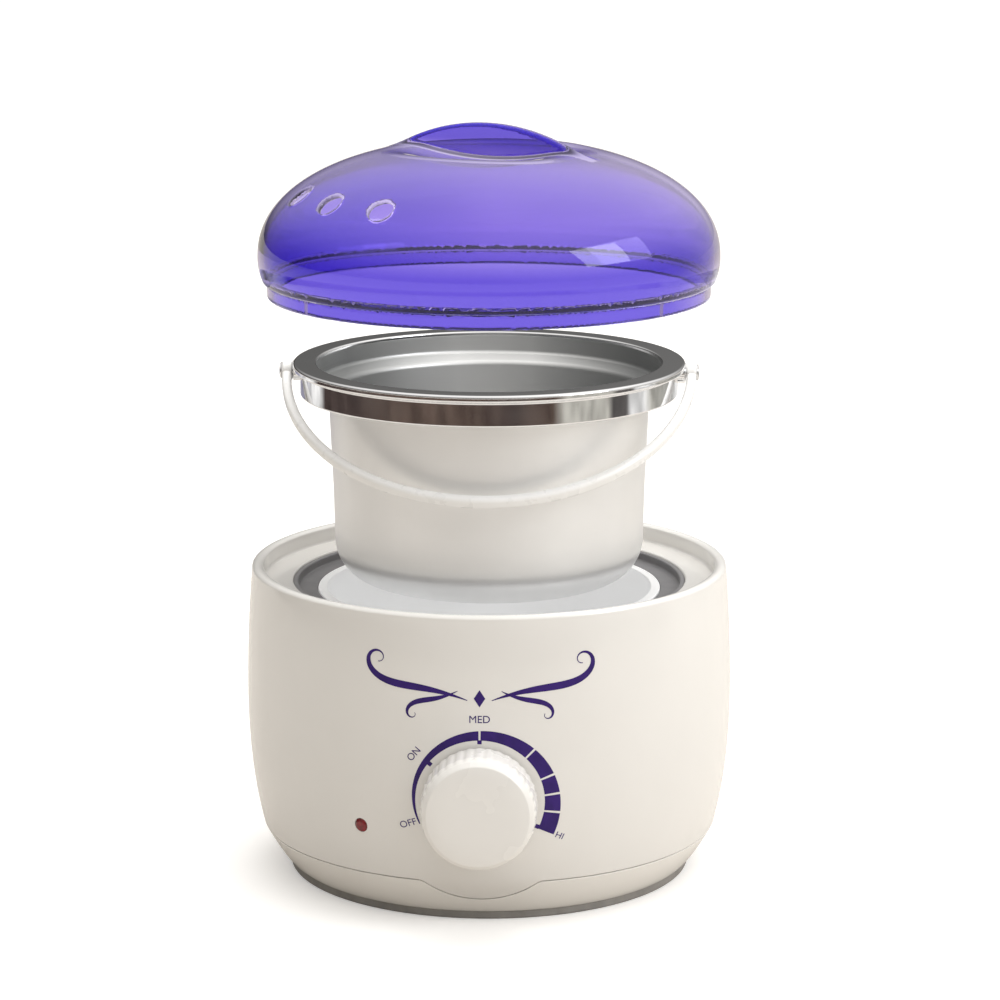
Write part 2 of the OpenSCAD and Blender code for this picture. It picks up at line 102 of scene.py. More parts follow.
POT_Z = cad("pot_shell")[0][2]
POT_H = cad("pot_rim")[1][2] - POT_Z
RIM_LOW = cad("pot_rim")[0][2] - POT_Z
RIM_R, RIM_W, RIM_T = 60.8, 7.4, 1.2
BAND_R = RIM_R - 2.3
POT_R, POT_FOOT_R, POT_CORNER, POT_T = 49.8, 47.8, 13.0, 1.2
PIVOT_Z = POT_Z + RIM_LOW + 6.5
BAIL_IN_R, BAIL_OUT_R, BAIL_W, BAIL_HANG = 61.2, 64.2, 3.7, 28.0
EYE_R, PIN_R, PIN_HEAD_R = 3.2, 1.5, 2.5

LID_Z = cad("lid")[0][2]
LID_H = cad("lid")[1][2] - LID_Z
LID_R, LID_WIDEST, LID_T = 71.2, 12.0, 1.8
DOME_H, DOME_POWER = 47.5, 2.2
SKIRT_R, SKIRT_H = 68.4, 4.65
GRIP_TURN, GRIP_T, GRIP_ARC_R = 28.0, 3.2, 69.0
SCOOP_LOW, SCOOP_R, SCOOP_MID, SCOOP_LONG_R, POCKET_T = 41.7, 50.0, 8.0, 111.0, 1.6
VENT_R, VENT_TURNS, VENT_AT, VENT_TILT = 3.9, (30, 50, 70), (60.0, 33.0), 46.0
NOTCH_TURNS, NOTCH_W = (-51, 51), 0.5


# ---------------------------------------------------------------- camera

LOOK_AT = Vector((3.4, 0, 116)) * MM
CAMERA_AWAY, CAMERA_HEIGHT, CAMERA_TURN = 1.1, 0.355, math.radians(2)

camera = bpy.data.objects.new("camera", bpy.data.cameras.new("camera"))
camera.data.lens = 129.7
camera.data.sensor_width = 36
camera.location = (LOOK_AT.x + CAMERA_AWAY * math.sin(CAMERA_TURN),
                   -CAMERA_AWAY * math.cos(CAMERA_TURN), CAMERA_HEIGHT)
camera.rotation_mode = "QUATERNION"
camera.rotation_quaternion = (LOOK_AT - camera.location).to_track_quat("-Z", "Y")
scene.collection.objects.link(camera)
scene.camera = camera
scene.view_settings.view_transform = "Standard"


# ---------------------------------------------------------------- materials

class Shader:
    """A Principled material with short ways to add procedural detail."""

    def __init__(self, name, color, rough=0.4, metal=0.0, **sockets):
        self.material = bpy.data.materials.new(name)
        self.material.use_nodes = True
        self.nodes = self.material.node_tree.nodes
        self.links = self.material.node_tree.links
        self.shader = self.nodes["Principled BSDF"]
        self.put("Base Color", (*color, 1))
        self.put("Roughness", rough)
        self.put("Metallic", metal)
        for socket, value in sockets.items():
            self.put(socket.replace("_", " "), value)
        self.color, self.rough = color, rough

    def put(self, socket, value):
        self.shader.inputs[socket].default_value = value

    def node(self, kind, **values):
        made = self.nodes.new(kind)
        for key, value in values.items():
            if key in made.inputs:
                made.inputs[key].default_value = value
            else:
                setattr(made, key, value)
        return made

    def place(self, stretch=(1, 1, 1)):
        """Where the point lies on the object, in metres, stretched along its axes."""
        where = self.node("ShaderNodeTexCoord")
        if stretch == (1, 1, 1):
            return where.outputs["Object"]
        scaled = self.node("ShaderNodeMapping")
        scaled.inputs["Scale"].default_value = stretch
        self.links.new(where.outputs["Object"], scaled.inputs["Vector"])
        return scaled.outputs["Vector"]

    def around(self, across, along):
        """Coordinates that run in rings about the vertical axis: lines of turning or spinning."""
        split = self.node("ShaderNodeSeparateXYZ")
        self.links.new(self.place(), split.inputs[0])
        flat = self.node("ShaderNodeCombineXYZ")
        self.links.new(split.outputs["X"], flat.inputs["X"])
        self.links.new(split.outputs["Y"], flat.inputs["Y"])
        radius = self.node("ShaderNodeVectorMath", operation="LENGTH")
        self.links.new(flat.outputs[0], radius.inputs[0])
        unit = self.node("ShaderNodeVectorMath", operation="NORMALIZE")
        self.links.new(flat.outputs[0], unit.inputs[0])
        turned = self.node("ShaderNodeVectorMath", operation="SCALE")
        turned.inputs["Scale"].default_value = along
        self.links.new(unit.outputs[0], turned.inputs[0])
        total = self.node("ShaderNodeMath", operation="ADD")
        self.links.new(radius.outputs["Value"], total.inputs[0])
        self.links.new(split.outputs["Z"], total.inputs[1])
        rings = self.node("ShaderNodeMath", operation="MULTIPLY")
        rings.inputs[1].default_value = across
        self.links.new(total.outputs[0], rings.inputs[0])
        lifted = self.node("ShaderNodeCombineXYZ")
        self.links.new(rings.outputs[0], lifted.inputs["Z"])
        both = self.node("ShaderNodeVectorMath", operation="ADD")
        self.links.new(turned.outputs[0], both.inputs[0])
        self.links.new(lifted.outputs[0], both.inputs[1])
        return both.outputs[0]

    def along(self, axis):
        """The point's distance along one axis, in metres."""
        split = self.node("ShaderNodeSeparateXYZ")
        self.links.new(self.place(), split.inputs[0])
        return split.outputs[axis]

    def noise(self, scale, detail=3.0, where=None, rough=0.5):
        made = self.node("ShaderNodeTexNoise", Scale=scale, Detail=detail, Roughness=rough)
        self.links.new(where or self.place(), made.inputs["Vector"])
        return made.outputs["Fac"]

    def between(self, source, low, high, cut=(0.35, 0.65)):
        made = self.node("ShaderNodeMapRange")
        for key, value in zip(("From Min", "From Max", "To Min", "To Max"), (*cut, low, high)):
            made.inputs[key].default_value = value
        self.links.new(source, made.inputs["Value"])
        return made.outputs["Result"]

    def tint(self, source, other, cut=(0.35, 0.65), most=1.0):
        """Mixes the base colour towards another where the source is high."""
        mix = self.node("ShaderNodeMix", data_type="RGBA")
        colour = self.shader.inputs["Base Color"]
        if colour.is_linked:
            self.links.new(colour.links[0].from_socket, mix.inputs["A"])
        else:
            mix.inputs["A"].default_value = (*self.color, 1)
        mix.inputs["B"].default_value = (*other, 1)
        self.links.new(self.between(source, 0, most, cut), mix.inputs["Factor"])
        self.links.new(mix.outputs["Result"], colour)
        return self

    def polish(self, source, low, high, cut=(0.35, 0.65)):
        self.links.new(self.between(source, low, high, cut), self.shader.inputs["Roughness"])
        return self

    def bump(self, source, depth, strength=1.0):
        """Relief of the given depth in millimetres."""
        made = self.node("ShaderNodeBump", Strength=strength, Distance=depth * MM)
        self.links.new(source, made.inputs["Height"])
        normal = self.shader.inputs["Normal"]
        if normal.is_linked:
            self.links.new(normal.links[0].from_socket, made.inputs["Normal"])
        self.links.new(made.outputs["Normal"], normal)
        return self


def moulded(name, color, rough, grain=0.004, coat=0.0):
    """Moulded plastic: faint flow marks, a fine skin and slightly uneven gloss."""
    made = Shader(name, color, rough, Coat_Weight=coat, Coat_Roughness=0.06, IOR=1.49)
    made.tint(made.noise(14, 4), [c * 0.95 for c in color], most=0.8)
    made.polish(made.noise(60, 3), rough * 0.8, rough * 1.3)
    made.bump(made.noise(1500, 2), grain, 0.5)
    return made.material


def turned_metal(name, color, rough, metal=1.0, inside=None, sides=None, glow=0.0):
    """Spun metal with fine rings about the vertical axis and faint handling marks.

    A cup can have a darker inside, painted shade, that is darkest at its left and right, a painted
    reflection of dark surroundings.
    """
    # A glow here is painted light, for a part that the lamps hardly reach
    made = Shader(name, color, rough, metal, Emission_Color=(1, 1, 1, 1), Emission_Strength=glow)
    rings = made.noise(1, 3, made.around(6000, 1.5), 0.7)
    made.tint(made.noise(25, 3), [c * 0.9 for c in color], most=0.7)
    # Painted shade and reflection: the inside is darker, and darker still towards its left and right
    if inside:
        inward = made.node("ShaderNodeVectorMath", operation="DOT_PRODUCT")
        made.links.new(made.node("ShaderNodeNewGeometry").outputs["Normal"], inward.inputs[0])
        made.links.new(made.place((1, 1, 0)), inward.inputs[1])
        made.tint(inward.outputs["Value"], inside, (0.002, -0.002))
        aside = made.node("ShaderNodeMath", operation="ABSOLUTE")
        made.links.new(made.along("X"), aside.inputs[0])
        both = made.node("ShaderNodeMath", operation="MULTIPLY")
        made.links.new(made.between(inward.outputs["Value"], 0, 1, (0.002, -0.002)), both.inputs[0])
        made.links.new(made.between(aside.outputs[0], 0, 1, (0.012, 0.046)), both.inputs[1])
        made.tint(both.outputs[0], sides, (0, 1))
    made.polish(rings, rough * 0.85, rough * 1.2, (0.3, 0.7))
    made.bump(rings, 0.004, 0.6)
    return made.material


def plated(name, color, rough=0.3, depth=0.01):
    """Zinc-plated or brass small parts with a mottled, lightly scratched skin."""
    made = Shader(name, color, rough, 1.0)
    made.tint(made.noise(180, 4), [c * 0.8 for c in color])
    made.polish(made.noise(300, 3, made.place((1, 1, 6))), rough * 0.7, rough * 1.4)
    made.bump(made.noise(900, 3), depth, 0.4)
    return made.material


def chalky(name, color, rough, scale, depth, other=None):
    """Rubber, ceramic, board and insulation: dull, with a grain of its own scale."""
    made = Shader(name, color, rough)
    made.tint(made.noise(scale / 12, 4), other or [c * 0.85 for c in color])
    made.polish(made.noise(scale / 4, 2), rough * 0.85, min(1.0, rough * 1.1))
    made.bump(made.noise(scale, 3), depth, 0.5)
    return made.material


def chrome():
    made = Shader("chrome", (0.82, 0.82, 0.83), 0.05, 1.0)
    made.polish(made.noise(45, 4), 0.03, 0.09)
    rings = made.noise(1, 2, made.around(2500, 1.0))
    made.bump(rings, 0.002, 0.35)
    made.bump(made.noise(16, 1), 0.05, 0.25)
    return made.material


def powder_coat():
    made = Shader("powder_coat", (0.92, 0.915, 0.905), 0.3, Coat_Weight=0.3, Coat_Roughness=0.15)
    made.tint(made.noise(40, 3), (0.87, 0.86, 0.84))
    made.polish(made.noise(220, 2), 0.24, 0.38)
    made.bump(made.noise(1400, 2), 0.02, 0.5)
    return made.material


# Painted shade on the lid: one violet for its left side, a deeper one low at the front and in the grip
LID_SHADE, LID_DEEP_SHADE = (0.27, 0.20, 0.74), (0.12, 0.08, 0.60)


def lid_plastic():
    """Clear violet plastic, deepened by painted shade at the left, low at the front and in the grip, where
    the plastic is also thicker.
    """
    made = Shader("lid_plastic", (0.43, 0.335, 0.83), 0.02, Transmission_Weight=1.0, IOR=1.46)
    made.tint(made.noise(9, 2), (0.40, 0.305, 0.81))
    # Painted shade, deeper towards the left
    made.tint(made.along("X"), LID_SHADE, (0.0, -0.06))
    # Painted shade, deeper low at the front
    front_low_shade = made.node("ShaderNodeMath", operation="MULTIPLY")
    made.links.new(made.between(made.along("Y"), 0, 1, (0.01, -0.04)), front_low_shade.inputs[0])
    made.links.new(made.between(made.along("Z"), 0, 1, (0.211, 0.196)), front_low_shade.inputs[1])
    made.tint(front_low_shade.outputs[0], LID_DEEP_SHADE, (0, 1))
    # Deeper in the grip: partly its thicker plastic, partly painted shade
    made.tint(made.along("Z"), LID_DEEP_SHADE, (0.2235, 0.2285))
    made.polish(made.noise(35, 3), 0.01, 0.05)
    made.bump(made.noise(30, 2), 0.01, 0.4)
    return made.material


def pilot_red():
    made = Shader("pilot_red", (0.24, 0.008, 0.013), 0.2, IOR=1.45, Coat_Weight=0.4, Coat_Roughness=0.08)
    made.tint(made.noise(900, 2), (0.13, 0.004, 0.007))
    made.bump(made.noise(700, 2), 0.02, 0.5)
    return made.material


def ink():
    made = Shader("dial_ink", (0.036, 0.011, 0.16), 0.5, Specular_IOR_Level=0.25)
    made.tint(made.noise(260, 4), (0.026, 0.008, 0.12))
    made.polish(made.noise(400, 3), 0.32, 0.5)
    made.bump(made.noise(2200, 2), 0.01, 0.5)
    return made.material


WHITE = moulded("housing_plastic", (0.81, 0.79, 0.755), 0.16, coat=0.35)
# The cover is the housing's white made lighter: painted light on its tucked-in side, which faces the floor
COVER = moulded("cover_plastic", (0.88, 0.86, 0.82), 0.18, coat=0.3)
KNOB = moulded("knob_plastic", (0.84, 0.82, 0.785), 0.24, coat=0.1)
COLLAR = moulded("collar_plastic", (0.20, 0.195, 0.20), 0.42, grain=0.03)
# The pot's inside is painted darker, darkest at its left and right: painted shade and reflection
POT = turned_metal("pot_aluminium", (0.94, 0.94, 0.935), 0.42, 0.85,
                   inside=(0.78, 0.78, 0.775), sides=(0.28, 0.285, 0.285))
# The well's faint glow is painted light in the hollow that the lamps hardly reach
WELL = turned_metal("well_aluminium", (0.97, 0.97, 0.97), 0.4, 0.35, glow=0.13)
CHROME = chrome()
BAIL = powder_coat()
LID = lid_plastic()
INK = ink()
RUBBER = chalky("foot_rubber", (0.30, 0.285, 0.265), 0.75, 2500, 0.03)
GLAND = chalky("gland_rubber", (0.66, 0.645, 0.60), 0.6, 2200, 0.02)
ZINC = plated("zinc_steel", (0.60, 0.61, 0.63))
BRASS = plated("brass", (0.72, 0.55, 0.27))

CAD_LOOKS = {
    "housing_screws": ZINC, "well_bridge": ZINC, "bridge_screws": ZINC, "stud_nut": ZINC,
    "heater_clamp": ZINC, "clamp_screw": ZINC, "fuse_clip": ZINC, "thermostat_shaft": ZINC,
    "knob_clip": ZINC, "thermostat_nut": BRASS, "contact_arm": BRASS, "cord_gland": GLAND,
    "heater_band": chalky("heater_silicone", (0.58, 0.20, 0.06), 0.6, 1500, 0.08),
    "thermal_fuse": chalky("fuse_case", (0.74, 0.73, 0.69), 0.35, 1800, 0.01),
    "thermostat_body": chalky("thermostat_ceramic", (0.76, 0.72, 0.65), 0.7, 1600, 0.03),
    "indicator_led": moulded("led_red", (0.55, 0.02, 0.02), 0.15),
    "led_board": chalky("board_green", (0.04, 0.20, 0.09), 0.45, 2600, 0.02, (0.30, 0.26, 0.10)),
    "terminal_block": moulded("terminal_plastic", (0.74, 0.73, 0.69), 0.45),
    "supply_leads": chalky("lead_blue", (0.04, 0.10, 0.42), 0.45, 1200, 0.02),
    "heater_leads": chalky("lead_red", (0.50, 0.04, 0.03), 0.5, 1200, 0.02),
}
for node, look in CAD_LOOKS.items():
    mesh = frame["nodes"][node].data
    mesh.materials.clear()
    mesh.materials.append(look)


# ---------------------------------------------------------------- building blocks

def piece(name, points, faces, body, slot, look, sharp=35.0):
    """A smooth-shaded mesh, drawn in millimetres, that rides on a body."""
    mesh = bpy.data.meshes.new(name)
    mesh.from_pydata([Vector(p) * MM for p in points], [], faces)
    made = bpy.data.objects.new(name, mesh)
    scene.collection.objects.link(made)
    mesh.materials.append(look)
    finish_mesh(mesh, sharp)
    if body:
        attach(made, body)
    return made


def finish_mesh(mesh, sharp):
    mesh.polygons.foreach_set("use_smooth", [True] * len(mesh.polygons))
    mesh.set_sharp_from_angle(angle=math.radians(sharp))
    mesh.update()


def rounded(corners, steps=6, closed=True):
    """An outline of (r, z, radius) corners with each corner turned into an arc of its radius."""
    outline, count = [], len(corners)
    for i, (r, z, radius) in enumerate(corners):
        if not radius or (not closed and i in (0, count - 1)):
            outline.append((r, z))
            continue
        here = Vector((r, z))
        back = (Vector(corners[i - 1][:2]) - here)
        ahead = (Vector(corners[(i + 1) % count][:2]) - here)
        half = back.angle(ahead) / 2
        reach = min(radius / math.tan(half), back.length * 0.49, ahead.length * 0.49)
        radius = reach * math.tan(half)
        centre = here + (back.normalized() + ahead.normalized()).normalized() * radius / math.sin(half)
        start = here + back.normalized() * reach - centre
        end = here + ahead.normalized() * reach - centre
        swing = start.angle_signed(end)
        for k in range(steps + 1):
            spoke = start.copy()
            spoke.rotate(Matrix.Rotation(-swing * k / steps, 2))
            outline.append(tuple(centre + spoke))
    return outline


def revolve(outline_at, turns=256, closed=True):
    """Points and faces of an outline of (r, z) turned about the vertical axis.

    outline_at is an outline, or a function of the angle from the front that gives one. A closed
    outline makes a ring; an open one starts and ends on the axis.
    """
    points, rings = [], []
    for t in range(turns):
        angle = 2 * math.pi * t / turns
        outline = outline_at(angle) if callable(outline_at) else outline_at
        ring = []
        for i, (r, z) in enumerate(outline):
            if not closed and i in (0, len(outline) - 1):
                if t == 0:
                    points.append((0, 0, z))
                    ring.append(len(points) - 1)
                else:
                    ring.append(rings[0][i])
                continue
            points.append((r * math.sin(angle), -r * math.cos(angle), z))
            ring.append(len(points) - 1)
        rings.append(ring)
    faces = []
    for t, ring in enumerate(rings):
        other = rings[(t + 1) % turns]
        for i in range(len(ring) if closed else len(ring) - 1):
            j = (i + 1) % len(ring)
            face = [ring[i], other[i], other[j], ring[j]]
            faces.append([v for k, v in enumerate(face) if v not in face[:k]])
    return points, faces


def moved(points, matrix):
    return [matrix @ Vector(p) for p in points]


# Turned so that a shape drawn about +Z stands about -Y, towards a person at the dial
TO_FRONT = Matrix.Rotation(math.radians(90), 4, "X")
# The same about the right-hand side, +X
TO_RIGHT = Matrix.Rotation(math.radians(90), 4, "Y")


def lathe(name, corners, body, slot, look, closed=True, place=None, turns=256, steps=6):
    points, faces = revolve(rounded(corners, steps, closed), turns, closed)
    if place is not None:
        points = moved(points, place)
    return piece(name, points, faces, body, slot, look)


def rod(name, radius, low, high, place, turns=64):
    """A plain rod, used only to cut or join, from low to high along its own axis."""
    return lathe(name, [(0, low, 0), (radius, low, 0), (radius, high, 0), (0, high, 0)],
                 None, None, None, closed=False, place=place, turns=turns)


def block(name, low, high, place=Matrix.Identity(4)):
    """A plain block, used only to cut."""
    corners = [Vector(c) for c in product(*zip(low, high))]
    faces = [(0, 1, 3, 2), (4, 6, 7, 5), (0, 4, 5, 1), (2, 3, 7, 6), (0, 2, 6, 4), (1, 5, 7, 3)]
    return piece(name, moved(corners, place), faces, None, None, None)


def combine(target, tools, operation="DIFFERENCE", sharp=35.0):
    """Cuts the tools from the target, or joins them to it, and drops the tools."""
    for tool in tools:
        step = target.modifiers.new("combine", "BOOLEAN")
        step.operation, step.solver, step.object = operation, "EXACT", tool
    result = bpy.data.meshes.new_from_object(
        target.evaluated_get(bpy.context.evaluated_depsgraph_get()))
    target.modifiers.clear()
    target.data = result
    finish_mesh(result, sharp)
    for tool in tools:
        bpy.data.objects.remove(tool)
    return target


# ---------------------------------------------------------------- housing and bottom cover

def upper_r(z):
    """Radius of the housing above its seam."""
    if z < BELLY_Z:
        return BASE_R - TUCK * (1 - math.sqrt(1 - ((BELLY_Z - z) / (BELLY_Z + 1.5)) ** 2))
    return BASE_R - LIP_IN * ((z - BELLY_Z) / (BASE_H - BELLY_Z)) ** 2


def wall_r(z):
    """Radius of the outside, tucked in to the foot ring below the seam."""
    if z < SEAM_Z:
        share = max(0.0, z - FOOT_H) / (SEAM_Z - FOOT_H)
        return FOOT_R + (upper_r(SEAM_Z) - FOOT_R) * share ** 0.8
    return upper_r(z)


def seam_height(angle, blend=0.8):
    """Height of the seam at an angle from the front, dipping round the lobe under the knob."""
    height = SEAM_Z
    if math.cos(angle) <= 0:
        return height
    for _ in range(4):
        x = wall_r(height) * math.sin(angle)
        if abs(x) >= LOBE_R:
            return SEAM_Z
        dip = LOBE_Z - math.sqrt(LOBE_R ** 2 - x * x)
        share = min(1, max(0, 0.5 + 0.5 * (SEAM_Z - dip) / blend))
        height = SEAM_Z + (dip - SEAM_Z) * share - blend * share * (1 - share)
    return height


def steps(low, high, count):
    return [low + (high - low) * i / count for i in range(count + 1)]


def housing_outline(angle):
    seam = seam_height(angle)
    shoulder = BASE_H - 1.2
    outer = [(wall_r(z), z, 0) for z in steps(seam + 0.8, shoulder, 44)]
    middle = (wall_r(shoulder) + LIP_INNER_R) / 2
    half = (wall_r(shoulder) - LIP_INNER_R) / 2
    lip = [(middle + half * math.cos(a), shoulder + 1.2 * math.sin(a), 0)
           for a in (math.pi * k / 12 for k in range(1, 12))]
    inner = [(wall_r(z) - SHELL_T, z, 0) for z in steps(FLOOR_Z - FLOOR_T - 3, seam + 0.8, 16)]
    return rounded(
        [(wall_r(seam), seam, 0.3)] + outer + lip
        + [(LIP_INNER_R, FLOOR_Z + 3, 0), (LIP_INNER_R, FLOOR_Z, 0.9), (COLLAR_R, FLOOR_Z, 0.7),
           (COLLAR_R, FLOOR_Z - FLOOR_T, 0.3),
           (wall_r(FLOOR_Z) - SHELL_T, FLOOR_Z - FLOOR_T, 1.5)]
        + inner + [(wall_r(seam) - SHELL_T, seam, 0.3)], steps=4)


def cover_outline(angle):
    top = seam_height(angle) - SEAM_GAP
    outer = [(wall_r(z), z, 0) for z in steps(FOOT_H + 0.4, top - 0.6, 14)]
    inner = [(wall_r(z) - SHELL_T, z, 0) for z in steps(top - 0.6, FOOT_H + PLATE_T + 0.6, 6)]
    return rounded(
        [(0, FOOT_H, 0), (59, FOOT_H, 0), (wall_r(FOOT_H), FOOT_H, 0.3)] + outer
        + [(wall_r(top), top, 0.3), (wall_r(top) - SHELL_T, top, 0.3)] + inner
        + [(wall_r(FOOT_H) - SHELL_T, FOOT_H + PLATE_T, 0.5), (40, FOOT_H + PLATE_T, 0),
           (0, FOOT_H + PLATE_T, 0)], steps=4, closed=False)


def out_from(turn, height):
    """Where a shape drawn about +Z stands at a turn from the front, pointing straight outwards."""
    return (Matrix.Translation((0, 0, height)) @ Matrix.Rotation(math.radians(-turn), 4, "Z")
            @ TO_FRONT)


points, faces = revolve(housing_outline, 360)
housing = piece("housing_shell", points, faces, "base", "housing_plastic", WHITE)
combine(housing, [
    rod("cut_neck", 5.0, 60, 80, out_from(0, DIAL_Z)),
    rod("cut_pilot", PILOT_R + 0.02, 60, 80, out_from(PILOT_TURN, PILOT_Z)),
    block("cut_gland", (-GLAND_W / 2, 60, 0), (GLAND_W / 2, 80, GLAND_Z + GLAND_W / 2)),
])
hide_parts("housing")

points, faces = revolve(cover_outline, 360, closed=False)
cover = piece("cover_shell", points, faces, "base", "cover_plastic", COVER)
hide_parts("bottom_cover")

foot = lathe("foot_band", [(59.5, FOOT_H, 0.2), (59.5, 0, 0.5), (FOOT_R, 0, 0.7), (FOOT_R, FOOT_H, 0.15)],
             "base", "foot_rubber", RUBBER)
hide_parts("foot_ring")


# ---------------------------------------------------------------- well

collar = lathe("collar_ring", [
    (52.4, COLLAR_Z - 3, 0.2), (64.5, COLLAR_Z - 3, 0.2), (64.5, FLOOR_Z - FLOOR_T, 0.2),
    (COLLAR_R - 0.02, FLOOR_Z - FLOOR_T, 0), (COLLAR_R - 0.02, FLOOR_Z - 0.5, 0.4),
    (COLLAR_R - 1.5, FLOOR_Z - 0.5, 0.5), (COLLAR_R - 1.7, COLLAR_Z, 0.6),
    (WELL_FLANGE_R + 0.2, COLLAR_Z, 0.2), (WELL_FLANGE_R + 0.2, COLLAR_Z - 1, 0),
    (52.4, COLLAR_Z - 1, 0.2)], "base", "collar_plastic", COLLAR)
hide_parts("well_collar")

out_r = WELL_R + WELL_T
low = WELL_FLOOR_Z - WELL_T
well = lathe("well_cup", [
    (0, low, 0), (2, low, 0), (out_r, low, WELL_CORNER), (out_r, COLLAR_Z - 1, 0.2),
    (WELL_FLANGE_R, COLLAR_Z - 1, 0.15), (WELL_FLANGE_R, WELL_RIM_Z, 0.5), (WELL_R, WELL_RIM_Z, 0.4),
    (WELL_R, WELL_FLOOR_Z, WELL_CORNER - WELL_T), (0, WELL_FLOOR_Z, 0)],
    "base", "well_aluminium", WELL, closed=False, steps=16)
combine(well, [rod("join_stud", 2.0, 17, low + 0.5, Matrix.Identity(4))], "UNION")
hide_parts("heating_well")


# ---------------------------------------------------------------- dial

def flute(angle):
    """How deep the grip is cut at an angle round the knob, from 0 to 1."""
    wave = 0.5 - 0.5 * math.cos(angle * KNOB_FLUTES)
    return wave ** 1.6


def knob_outline(angle, depth=0.24):
    """The knob's outline, with its height measured forward from the wall side."""
    cut = depth * flute(angle)
    tall = KNOB_BACK - KNOB_FRONT
    crown = [(r, tall - 0.75 * (r / 15.0) ** 2.4, 0) for r in (3, 6, 9, 11, 13)]
    shoulder = [(KNOB_R - 2.0, tall - 0.95, 0.9), (KNOB_R - 0.6 - cut * 0.15, tall - 2.4, 1.2),
                (KNOB_R - 0.1 - cut, tall - 5.0, 1.5)]
    return rounded(
        [(0, tall, 0)] + crown + shoulder
        + [(KNOB_R - cut, 0.5, 0), (KNOB_R - 0.2 - cut, 0, 0.2), (KNOB_R - 2.2, 0, 0.2),
           (KNOB_R - 2.2, tall - 2.2, 1.0), (6.0, tall - 2.2, 0.5), (6.0, 4.0, 0.3),
           (3.05, 4.0, 0.3), (3.05, tall - 3.0, 0), (0, tall - 3.0, 0)], steps=4, closed=False)


points, faces = revolve(knob_outline, KNOB_FLUTES * 14, closed=False)
to_knob = Matrix.Translation((0, KNOB_BACK, DIAL_Z)) @ TO_FRONT
knob = piece("knob_cap", moved(points, to_knob), faces, "control", "knob_plastic", KNOB, 50)
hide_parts("knob")

face_r = wall_r(PILOT_Z) + 0.2
lens = lathe("pilot_lens", [
    (0, 72.5, 0), (1.5, 72.5, 0.3), (1.5, 70, 0), (3.2, 70, 0.2), (3.2, 71.4, 0.2), (PILOT_R, 71.4, 0.1),
    (PILOT_R, face_r - 0.3, 1.2), (1.3, face_r + 0.15, 1.0), (0, face_r + 0.25, 0)],
    "base", "pilot_red", pilot_red(), closed=False, place=out_from(PILOT_TURN, PILOT_Z), turns=96)
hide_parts("indicator_lens")


def on_wall(x, z, lift):
    """The point on the housing's front at x and height z, lifted off it."""
    return x, -math.sqrt((wall_r(z) + lift) ** 2 - x * x), z


PRINT_T, PRINT_SUNK = 0.05, 0.06


def printed(name, rows):
    """A thin layer of ink on the housing's front, from a grid of (x, z) points."""
    high, wide = len(rows), len(rows[0])
    points = [on_wall(x, z, lift) for lift in (PRINT_T, -PRINT_SUNK) for row in rows for x, z in row]

    def at(layer, i, j):
        return layer * high * wide + i * wide + j
    faces = []
    for i, j in product(range(high - 1), range(wide - 1)):
        quad = [(i, j), (i, j + 1), (i + 1, j + 1), (i + 1, j)]
        faces += [[at(0, *p) for p in quad], [at(1, *p) for p in reversed(quad)]]
    edge = ([(0, j) for j in range(wide)] + [(i, wide - 1) for i in range(1, high)]
            + [(high - 1, j) for j in range(wide - 2, -1, -1)] + [(i, 0) for i in range(high - 2, 0, -1)])
    for a, b in zip(edge, edge[1:] + edge[:1]):
        faces.append([at(1, *a), at(1, *b), at(0, *b), at(0, *a)])
    return points, faces


def joined(parts):
    """One list of points and one of faces from several."""
    points, faces = [], []
    for some_points, some_faces in parts:
        faces += [[v + len(points) for v in face] for face in some_faces]
        points += some_points
    return points, faces


SCALE_IN_R = 19.3
SCALE_LOW, SCALE_HIGH = -112.8, 116.6      # degrees clockwise from the top, from off to hot
SCALE_GAPS = (0, 45, 69.5, 84.7, 99.4)
GAP_HALF = 0.85
MARKS = {"OFF": (-110, 22.9, -20, 2.2), "ON": (-54, 24.2, -50, 2.2), "MED": (0, 25.6, 0, 2.3),
         "HI": (116, 26.3, 25, 2.0)}


def scale_width(turn):
    share = (turn - SCALE_LOW) / (SCALE_HIGH - SCALE_LOW)
    return 0.35 + 4.8 * share ** 0.9


def dial_point(turn, r):
    angle = math.radians(turn)
    return r * math.sin(angle), DIAL_Z + r * math.cos(angle)


def scale_parts():
    """The widening scale round the knob, broken by thin gaps, with three square ticks inside it."""
    stops = [SCALE_LOW] + [g + side * GAP_HALF for g in SCALE_GAPS for side in (-1, 1)] + [SCALE_HIGH]
    for start, end in zip(stops[::2], stops[1::2]):
        turns = steps(start, end, max(4, int((end - start) / 1.5)))
        yield printed("scale", [[dial_point(t, SCALE_IN_R + scale_width(t) * k / 3) for t in turns]
                                for k in range(4)])
    for turn in (-52, 0, SCALE_HIGH - 1.5):
        yield printed("tick", [[dial_point(turn + side * 2.0, SCALE_IN_R + r) for side in (-1, 1)]
                               for r in (-1.1, 0.1)])


scale = piece("dial_scale", *joined(scale_parts()), "base", "dial_print", INK)


